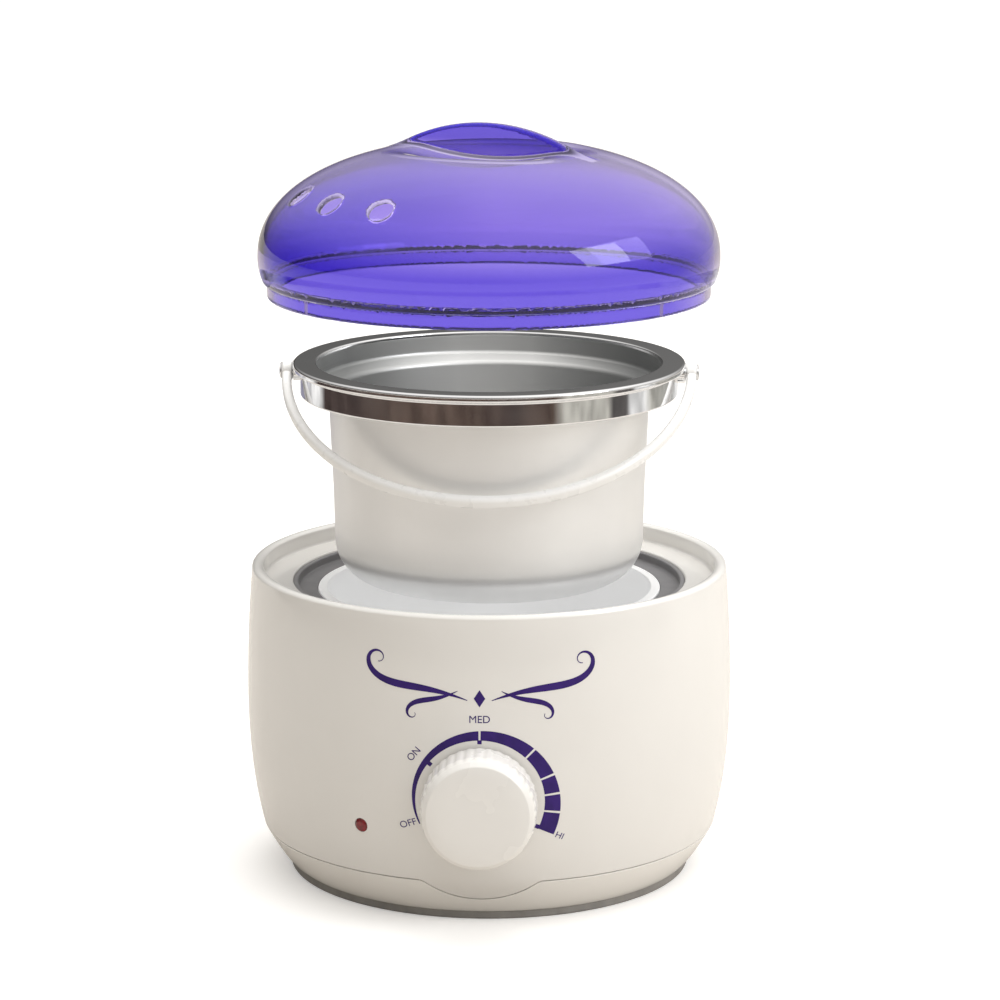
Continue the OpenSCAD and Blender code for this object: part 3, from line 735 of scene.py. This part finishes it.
def lettering(name, text, turn, r, tilt, size):
    """A generic dial marking, laid on the housing's front."""
    curve = bpy.data.curves.new(name, "FONT")
    curve.body, curve.size = text, size * 1.38
    curve.align_x, curve.align_y = "CENTER", "CENTER"
    curve.extrude, curve.resolution_u = 0.5, 6
    draft = bpy.data.objects.new(name, curve)
    scene.collection.objects.link(draft)
    flat = bpy.data.meshes.new_from_object(
        draft.evaluated_get(bpy.context.evaluated_depsgraph_get()))
    bpy.data.objects.remove(draft)
    middle = dial_point(turn, r)
    spin = Matrix.Rotation(math.radians(-tilt), 2)
    points = []
    for vertex in flat.vertices:
        x, z = spin @ Vector(vertex.co[:2])
        points.append(on_wall(middle[0] + x, middle[1] + z, PRINT_T if vertex.co.z > 0 else -PRINT_SUNK))
    return piece(name, points, [list(p.vertices) for p in flat.polygons], "base", "dial_print", INK, 20)


for text, (turn, r, tilt, size) in MARKS.items():
    lettering("mark_" + text.lower(), text, turn, r, tilt, size)


def scroll(start, heading, length, bend, curl, width):
    """A ribbon that runs from a point and winds up, thickest in the middle: rows of (x, z)."""
    count = 72
    x, z = start
    edges = [[], []]
    for i in range(count + 1):
        s = i / count
        turn = heading + bend * s + curl * s ** 5
        half = width * (0.12 + math.sin(math.pi * min(1, s * 1.05)) ** 1.2) / 2
        for edge, side in zip(edges, (-1, 1)):
            edge.append((x - side * half * math.sin(turn), z + side * half * math.cos(turn)))
        x += length / count * math.cos(turn)
        z += length / count * math.sin(turn)
    return edges


def mirrored(rows):
    return [[(-x, z) for x, z in row] for row in reversed(rows)]


ORNAMENT_Z = 72.5


def ornament_parts():
    """A plain symmetrical flourish on the housing's front."""
    for rows in (scroll((3.6, ORNAMENT_Z - 0.6), 0.36, 43, -0.85, 7.2, 2.0),
                 scroll((6.5, ORNAMENT_Z + 2.2), -0.5, 22, 0.9, -6.0, 1.4)):
        for side in (rows, mirrored(rows)):
            yield printed("scroll", side)
    lozenge = [[(0, ORNAMENT_Z + 2.6), (1.7, ORNAMENT_Z)], [(-1.7, ORNAMENT_Z), (0, ORNAMENT_Z - 2.6)]]
    yield printed("lozenge", lozenge[::-1])


piece("front_ornament", *joined(ornament_parts()), "base", "dial_print", INK)


# ---------------------------------------------------------------- pot

def pot_side(z):
    return POT_FOOT_R + (POT_R - POT_FOOT_R) * (z - 13) / (59 - 13)


mouth_r = RIM_R - RIM_W
pot_outside = [(0, 0, 0), (20, 0, 0), (POT_FOOT_R, 0, POT_CORNER), (pot_side(30), 30, 0),
               (pot_side(59), 59, 1.5), (mouth_r + POT_T, 61.2, 1.0), (mouth_r + POT_T, POT_H - RIM_T, 0.05)]
pot_inside = [(mouth_r, POT_H - RIM_T, 0.05), (mouth_r, 61.8, 1.5), (pot_side(59) - POT_T, 59.6, 2.0),
              (pot_side(30) - POT_T, 30, 0), (POT_FOOT_R - POT_T, POT_T, POT_CORNER - POT_T),
              (20, POT_T, 0), (0, POT_T, 0)]
at_pot = Matrix.Translation((0, 0, POT_Z))
pot = lathe("pot_bowl", pot_outside + pot_inside, "pot", "pot_aluminium", POT, closed=False,
            place=at_pot, steps=14)
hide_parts("pot_shell")

rim = lathe("rim_channel", [
    (mouth_r, POT_H - RIM_T, 0.1), (mouth_r, POT_H, 0.7), (RIM_R, POT_H, 0.8), (RIM_R, POT_H - 2.0, 0.6),
    (BAND_R, POT_H - 2.7, 0.5), (BAND_R, RIM_LOW, 0.6), (54.8, RIM_LOW, 0.3), (54.8, RIM_LOW + RIM_T, 0.3),
    (BAND_R - RIM_T, RIM_LOW + RIM_T, 0.4), (BAND_R - RIM_T, POT_H - RIM_T, 0.4)],
    "pot", "rim_chrome", CHROME, place=at_pot, steps=8)
at_pivot = Matrix.Translation((0, 0, PIVOT_Z))
sides = (TO_RIGHT, Matrix.Rotation(math.pi, 4, "Z") @ TO_RIGHT)
combine(rim, [rod(f"cut_ear_{i}", EYE_R + 0.02, 57, 65, at_pivot @ side) for i, side in enumerate(sides)])
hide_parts("pot_rim")

ear_outline = [(PIN_R + 0.05, 57, 0.1), (EYE_R, 57, 0.2), (EYE_R, RIM_R + 0.1, 0.4),
               (PIN_R + 0.05, RIM_R + 0.1, 0.2)]
ears = piece("ear_bosses", *joined([
    (moved(points, at_pivot @ side), faces)
    for side in sides for points, faces in [revolve(rounded(ear_outline), 64)]]),
    "pot", "rim_chrome", CHROME)
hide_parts("bail_ears")

pin_outline = [(0, 58, 0), (PIN_R, 58, 0.3), (PIN_R, BAIL_OUT_R + 0.15, 0),
               (PIN_HEAD_R, BAIL_OUT_R + 0.1, 0.2), (PIN_HEAD_R, BAIL_OUT_R + 0.6, 0.3),
               (1.2, BAIL_OUT_R + 0.9, 1.0), (0, BAIL_OUT_R + 0.9, 0)]
pins = piece("pivot_rivets", *joined([
    (moved(points, at_pivot @ side), faces)
    for side in sides for points, faces in [revolve(rounded(pin_outline, 4, False), 64, False)]]),
    "pivots", "rim_chrome", CHROME)
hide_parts("bail_pins")


# ---------------------------------------------------------------- bail

def bail_strap():
    """A half ring of rounded section, level, from its right end round the front to its left end."""
    half_t, half_w, middle = (BAIL_OUT_R - BAIL_IN_R) / 2, BAIL_W / 2, (BAIL_OUT_R + BAIL_IN_R) / 2
    section = rounded([(half_t, half_w, 1.2), (-half_t, half_w, 1.2), (-half_t, -half_w, 1.2),
                       (half_t, -half_w, 1.2)], steps=7)
    count, size = 160, len(section)
    points = []
    for i in range(count + 1):
        angle = math.pi * i / count
        for r, z in section:
            points.append(((middle + r) * math.cos(angle), -(middle + r) * math.sin(angle), z))
    faces = [[i * size + k, i * size + (k + 1) % size, (i + 1) * size + (k + 1) % size, (i + 1) * size + k]
             for i in range(count) for k in range(size)]
    return points, faces + [list(range(size))[::-1], [count * size + k for k in range(size)]]


hang = at_pivot @ Matrix.Rotation(math.radians(BAIL_HANG), 4, "X")
points, faces = bail_strap()
bail = piece("bail_hoop", moved(points, hang), faces, "handle", "bail_white", BAIL, 50)
eye_outline = [(0, BAIL_IN_R - 0.05, 0), (EYE_R, BAIL_IN_R - 0.05, 0.5), (EYE_R, BAIL_OUT_R + 0.05, 0.8),
               (0, BAIL_OUT_R + 0.05, 0)]
eyes = [lathe(f"join_eye_{i}", eye_outline, None, None, None, False, hang @ side, 64)
        for i, side in enumerate(sides)]
combine(bail, eyes, "UNION", 40)
combine(bail, [rod(f"cut_pin_{i}", PIN_R + 0.05, 55, 70, hang @ side) for i, side in enumerate(sides)],
        sharp=40)
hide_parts("bail")


# ---------------------------------------------------------------- lid

def soft_min(a, b, blend):
    share = np.clip(0.5 + 0.5 * (b - a) / blend, 0, 1)
    return b + (a - b) * share - blend * share * (1 - share)


def soft_max(a, b, blend):
    return -soft_min(-a, -b, blend)


def dome_field(r, z, inset):
    """How far a point is outside the dome and its flare, drawn in by inset."""
    a, b, p = LID_R - inset, DOME_H - LID_WIDEST - inset, DOME_POWER
    up = np.maximum(z - LID_WIDEST, 1e-6)
    total = (r / a) ** p + (up / b) ** p + 1e-9
    slope = total ** (1 / p - 1) * np.hypot((r / a) ** (p - 1) / a, (up / b) ** (p - 1) / b)
    above = (total ** (1 / p) - 1) / np.maximum(slope, 0.01)
    drop = np.clip((LID_WIDEST - z) / (LID_WIDEST - SKIRT_H), 0, 1.2)
    below = r - (a - 1.6 * drop ** 2)
    return np.where(z > LID_WIDEST, above, below)


def lid_field(x, y, z):
    """Signed distance, near enough, from the lid's surface: negative inside the plastic."""
    r = np.hypot(x, y)
    turn = math.radians(GRIP_TURN)
    along = x * math.cos(turn) - y * math.sin(turn)
    across = x * math.sin(turn) + y * math.cos(turn)

    bowl_r = SCOOP_R - SCOOP_LONG_R + np.sqrt(np.maximum(SCOOP_LONG_R ** 2 - along ** 2, 1))
    pocket = np.hypot(np.sqrt(across ** 2 + 0.5) - SCOOP_MID, z - SCOOP_LOW - SCOOP_R) - bowl_r
    dome = soft_max(dome_field(r, z, 0), SKIRT_H - z, 0.7)
    dome = soft_max(dome, -pocket, 2.4)
    skirt = np.maximum(soft_max(r - SKIRT_R, -z, 0.6), z - 9)
    outside = soft_min(dome, skirt, 0.5)
    grip = soft_max(np.abs(across) - GRIP_T / 2, np.hypot(along, z - LID_H + GRIP_ARC_R) - GRIP_ARC_R, 1.6)
    grip = np.maximum(grip, 32 - z)
    outside = soft_min(outside, grip, 1.4)

    hollow = np.where(z > SKIRT_H + 2.2, dome_field(r, z, LID_T), r - (SKIRT_R - LID_T))
    hollow = soft_max(hollow, -(pocket - POCKET_T), 2.0)
    plastic = soft_max(outside, -hollow, 0.7)

    tilt = math.radians(VENT_TILT)
    for turn in VENT_TURNS:
        a = math.radians(turn)
        outward = -x * math.sin(a) - y * math.cos(a) - VENT_AT[0]
        sideways = x * math.cos(a) - y * math.sin(a)
        lean = outward * math.cos(tilt) - (z - VENT_AT[1]) * math.sin(tilt)
        reach = outward * math.sin(tilt) + (z - VENT_AT[1]) * math.cos(tilt)
        vent = np.maximum(np.hypot(lean, sideways) - VENT_R, np.abs(reach) - 9)
        plastic = soft_max(plastic, -vent, 0.8)
    return plastic


def slope_of(field, p, reach=0.02):
    """The field's slope at each row of p."""
    slopes = []
    for axis in range(3):
        shift = np.zeros(3)
        shift[axis] = reach
        slopes.append((field(*(p + shift).T) - field(*(p - shift).T)) / (2 * reach))
    return np.stack(slopes, 1)


def surface(field, low, high, step):
    """Points and quads of the surface where the field is zero, one point in each cell it crosses."""
    axes = [np.arange(a, b + step, step) for a, b in zip(low, high)]
    value = field(*np.meshgrid(*axes, indexing="ij"))
    inside = value < 0
    shape = [n - 1 for n in value.shape]

    def corner(grid, offset):
        return grid[tuple(slice(o, o + n) for o, n in zip(offset, shape))]
    offsets = list(product((0, 1), repeat=3))
    filled = sum(corner(inside, o).astype(np.int8) for o in offsets)
    crossed = np.argwhere((filled > 0) & (filled < 8))
    number = np.full(shape, -1)
    number[tuple(crossed.T)] = np.arange(len(crossed))

    total, count = np.zeros((len(crossed), 3)), np.zeros((len(crossed), 1))
    for a, b in product(offsets, repeat=2):
        if sum(b) - sum(a) != 1 or sum(abs(i - j) for i, j in zip(a, b)) != 1:
            continue
        here = value[tuple((crossed + a).T)]
        there = value[tuple((crossed + b).T)]
        cut = (here < 0) != (there < 0)
        share = np.where(cut, here / np.where(cut, here - there, 1), 0)[:, None]
        total += np.where(cut[:, None], np.array(a) + share * (np.array(b) - np.array(a)), 0)
        count += cut[:, None]
    points = np.array(low) + (crossed + total / count) * step
    for _ in range(4):
        slope = slope_of(field, points)
        push = field(*points.T)[:, None] * slope / np.maximum((slope ** 2).sum(1, keepdims=True), 0.05)
        points -= np.clip(push, -step / 3, step / 3)

    quads = []
    for axis in range(3):
        u, v = np.eye(3, dtype=int)[(axis + 1) % 3], np.eye(3, dtype=int)[(axis + 2) % 3]
        one = inside[tuple(slice(0, -1) if k == axis else slice(1, -1) for k in range(3))]
        two = inside[tuple(slice(1, None) if k == axis else slice(1, -1) for k in range(3))]
        at = np.argwhere(one != two) + u + v
        ring = np.stack([number[tuple((at - d).T)] for d in (u + v, v, 0 * u, u)], 1)
        out = one[tuple((at - u - v).T)]
        quads.append(np.where(out[:, None], ring, ring[:, ::-1]))
    return points, np.concatenate(quads)


def shade_by(made, field, origin):
    """Sets normals from the field itself, except on faces that don't lie on it."""
    mesh = made.data
    points = np.array([v.co for v in mesh.vertices]) / MM - origin
    slope = slope_of(field, points)
    slope /= np.maximum(np.linalg.norm(slope, axis=1, keepdims=True), 1e-9)
    normals = np.empty((len(mesh.loops), 3))
    for face in mesh.polygons:
        flat = np.array(face.normal)
        for loop, vertex in zip(face.loop_indices, face.vertices):
            smooth = slope[vertex]
            normals[loop] = smooth if smooth @ flat > 0.6 else flat
    mesh.normals_split_custom_set(normals.tolist())


LID_STEP = 0.8
reach = LID_R + 2
points, quads = surface(lid_field, (-reach, -reach, -1.7), (reach, reach, LID_H + 1.5), LID_STEP)
at_lid = np.array((0, 0, LID_Z))
lid = piece("lid_dome", (points + at_lid).tolist(), quads.tolist(), "cover", "lid_purple", LID, 180)
notches = []
for i, turn in enumerate(NOTCH_TURNS):
    place = Matrix.Translation((0, 0, LID_Z)) @ Matrix.Rotation(math.radians(turn), 4, "Z")
    notches.append(block(f"cut_notch_{i}", (-NOTCH_W / 2, -SKIRT_R - 1, -1),
                         (NOTCH_W / 2, -SKIRT_R + 3, SKIRT_H - 0.2), place))
combine(lid, notches, sharp=180)
shade_by(lid, lid_field, at_lid)
lid.visible_shadow = lid.visible_diffuse = lid.visible_glossy = False
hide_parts("lid")


# ---------------------------------------------------------------- floor and light

def sheet_piece(name, size, location, look, facing=(0, 0, 1)):
    """A flat part of the studio."""
    mesh = bpy.data.meshes.new(name)
    w, h = size[0] / 2, size[1] / 2
    mesh.from_pydata([(-w, -h, 0), (w, -h, 0), (w, h, 0), (-w, h, 0)], [], [(0, 1, 2, 3)])
    mesh.materials.append(look)
    made = bpy.data.objects.new(name, mesh)
    made.location = location
    made.rotation_mode = "QUATERNION"
    made.rotation_quaternion = Vector(facing).to_track_quat("Z", "Y")
    scene.collection.objects.link(made)
    return made


# The floor that the camera sees is brighter than the one that lights the object from below
seen = Shader("floor_seen", (0.86, 0.845, 0.825), 0.9, Specular_IOR_Level=0.2,
              Emission_Color=(1, 1, 1, 1), Emission_Strength=0.28)
floor = sheet_piece("floor", (24, 24), (0, 0, 0), seen.material)
floor.visible_diffuse = floor.visible_glossy = floor.visible_shadow = False
bounce = Shader("floor_bounce", (0.65, 0.61, 0.56), 0.9, Specular_IOR_Level=0.2)
under = sheet_piece("floor_bounce", (24, 24), (0, 0, -0.0005), bounce.material)
under.visible_camera = under.visible_transmission = False


def studio_world(horizon, zenith, right):
    """A white surround that brightens upwards and towards the right."""
    world = bpy.data.worlds.new("studio")
    scene.world = world
    world.use_nodes = True
    nodes, links = world.node_tree.nodes, world.node_tree.links
    where, split = nodes.new("ShaderNodeTexCoord"), nodes.new("ShaderNodeSeparateXYZ")
    links.new(where.outputs["Generated"], split.inputs[0])
    shares = []
    for axis, low, high in (("Z", horizon, zenith), ("X", 0, right)):
        share = nodes.new("ShaderNodeMapRange")
        share.interpolation_type = "SMOOTHSTEP"
        share.inputs["From Min"].default_value = 0 if axis == "Z" else -0.2
        share.inputs["To Min"].default_value, share.inputs["To Max"].default_value = low, high
        links.new(split.outputs[axis], share.inputs["Value"])
        shares.append(share.outputs["Result"])
    total = nodes.new("ShaderNodeMath")
    links.new(shares[0], total.inputs[0])
    links.new(shares[1], total.inputs[1])
    background = nodes["Background"]
    background.inputs["Color"].default_value = (1.0, 0.985, 0.96, 1)
    links.new(total.outputs[0], background.inputs["Strength"])


studio_world(0.03, 1.12, 0.55)


def softbox(name, location, target, size, watts, color=(1, 1, 1)):
    light = bpy.data.objects.new(name, bpy.data.lights.new(name, "AREA"))
    light.data.shape = "RECTANGLE"
    light.data.size, light.data.size_y = size
    light.data.energy = watts
    light.data.color = color
    light.location = location
    light.rotation_mode = "QUATERNION"
    light.rotation_quaternion = (Vector(target) - Vector(location)).to_track_quat("-Z", "Y")
    scene.collection.objects.link(light)
    return light


MIDDLE = (0, 0, 0.11)
softbox("key", (1.1, -0.55, 0.85), MIDDLE, (0.6, 0.6), 6, (0.94, 0.965, 1))
softbox("top", (0.1, 0.2, 1.6), MIDDLE, (0.9, 0.9), 14).visible_glossy = False


def ring_card(near, far, stops):
    """A ring on the floor that only reflections see, coloured by the angle round the object."""
    look = bpy.data.materials.new("ring_card")
    look.use_nodes = True
    nodes, links = look.node_tree.nodes, look.node_tree.links
    nodes.remove(nodes["Principled BSDF"])
    where, split = nodes.new("ShaderNodeTexCoord"), nodes.new("ShaderNodeSeparateXYZ")
    links.new(where.outputs["Object"], split.inputs[0])
    flip = nodes.new("ShaderNodeMath")
    flip.operation = "MULTIPLY"
    flip.inputs[1].default_value = -1
    links.new(split.outputs["Y"], flip.inputs[0])
    angle = nodes.new("ShaderNodeMath")
    angle.operation = "ARCTAN2"
    links.new(split.outputs["X"], angle.inputs[0])
    links.new(flip.outputs[0], angle.inputs[1])
    share = nodes.new("ShaderNodeMapRange")
    share.inputs["From Min"].default_value, share.inputs["From Max"].default_value = -math.pi, math.pi
    links.new(angle.outputs[0], share.inputs["Value"])
    ramp = nodes.new("ShaderNodeValToRGB")
    for turn, color in stops:
        ramp.color_ramp.elements.new(0.5 + turn / 360).color = (*color, 1)
    links.new(share.outputs["Result"], ramp.inputs["Fac"])
    streaks = nodes.new("ShaderNodeTexNoise")
    streaks.inputs["Scale"].default_value, streaks.inputs["Detail"].default_value = 9, 3
    links.new(where.outputs["Object"], streaks.inputs["Vector"])
    level = nodes.new("ShaderNodeMapRange")
    for key, value in zip(("From Min", "From Max", "To Min", "To Max"), (0.35, 0.65, 0.65, 1.25)):
        level.inputs[key].default_value = value
    links.new(streaks.outputs["Fac"], level.inputs["Value"])
    glow = nodes.new("ShaderNodeEmission")
    links.new(ramp.outputs["Color"], glow.inputs["Color"])
    links.new(level.outputs["Result"], glow.inputs["Strength"])
    links.new(glow.outputs[0], nodes["Material Output"].inputs["Surface"])
    count = 180
    mesh = bpy.data.meshes.new("ring_card")
    points = [(r * math.sin(a), -r * math.cos(a), 0.004) for r in (near, far)
              for a in (2 * math.pi * k / count for k in range(count))]
    faces = [(k, count + k, count + (k + 1) % count, (k + 1) % count) for k in range(count)]
    mesh.from_pydata(points, [], faces)
    mesh.materials.append(look)
    card = bpy.data.objects.new("ring_card", mesh)
    scene.collection.objects.link(card)
    card.visible_camera = card.visible_diffuse = card.visible_shadow = card.visible_transmission = False


BROWN, DUSK, GREY = (0.125, 0.088, 0.072), (0.075, 0.055, 0.05), (0.13, 0.12, 0.115)
SILVER, PALE, COOL = (0.58, 0.56, 0.5), (0.95, 0.94, 0.92), (0.32, 0.31, 0.40)
ring_card(0.62, 1.04, [
    (-175, PALE), (-158, COOL), (-145, COOL), (-130, PALE), (-119, PALE), (-113, DUSK), (-85, DUSK),
    (-55, BROWN), (-10, BROWN), (15, DUSK), (40, BROWN), (47, SILVER), (76, SILVER), (80, GREY), (91, GREY),
    (95, PALE), (106, PALE), (115, SILVER), (140, (0.3, 0.3, 0.28)), (160, PALE)])

# Normals follow the larger faces, so that flat bands mirror evenly
cad_nodes = set(frame["nodes"].values())
for made in scene.objects:
    if made.type == "MESH" and made not in cad_nodes and made is not lid:
        weighted = made.modifiers.new("weighted", "WEIGHTED_NORMAL")
        weighted.weight, weighted.keep_sharp = 100, True
